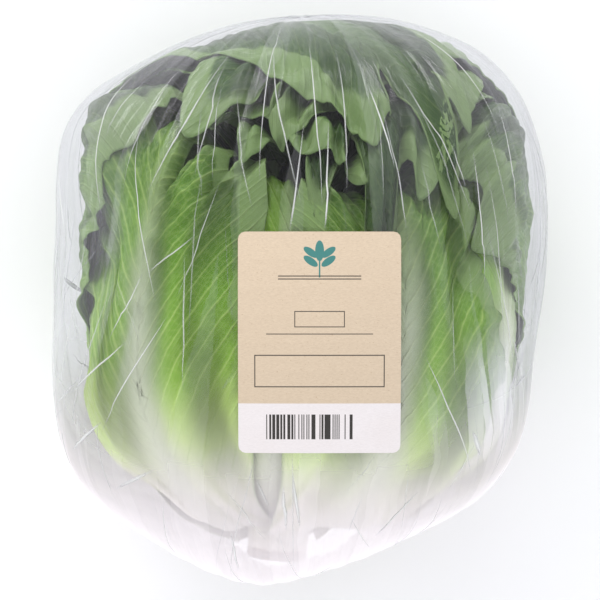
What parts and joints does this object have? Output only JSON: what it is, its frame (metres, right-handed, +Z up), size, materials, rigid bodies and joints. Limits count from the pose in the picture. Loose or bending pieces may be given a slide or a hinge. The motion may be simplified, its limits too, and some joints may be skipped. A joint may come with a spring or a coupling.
{
  "type": "bagged head of lettuce",
  "caption": "Head of green leaf lettuce with ruffled dark tips and a white cut stem, in a clear film bag with a brown paper label.",
  "frame": {"origin": "on the ground, under the middle of the bag's bounding box", "axes": "+Z up out of the ground, with the label facing up; +Y towards the leaf tips; -Y towards the cut stem and the bag's mouth"},
  "size_m": [0.1776, 0.2048, 0.134],
  "materials": {
    "leaf": "fresh leaf, satin",
    "heart": "pale inner leaf, satin",
    "stem": "moist cut stalk",
    "film": "clear, crinkled and glossy",
    "label": "uncoated brown paper"
  },
  "bodies": {
    "root": {"leaf_01": "leaf", "leaf_02": "leaf", "leaf_03": "leaf", "leaf_04": "leaf", "leaf_05": "leaf", "leaf_06": "leaf", "leaf_07": "leaf", "leaf_08": "leaf", "leaf_09": "leaf", "leaf_10": "leaf", "leaf_11": "leaf", "leaf_12": "leaf", "leaf_13": "leaf", "leaf_14": "leaf", "leaf_15": "leaf", "leaf_16": "leaf", "heart": "heart", "stem": "stem", "bag": "film", "label": "label"}
  },
  "joints": []
}
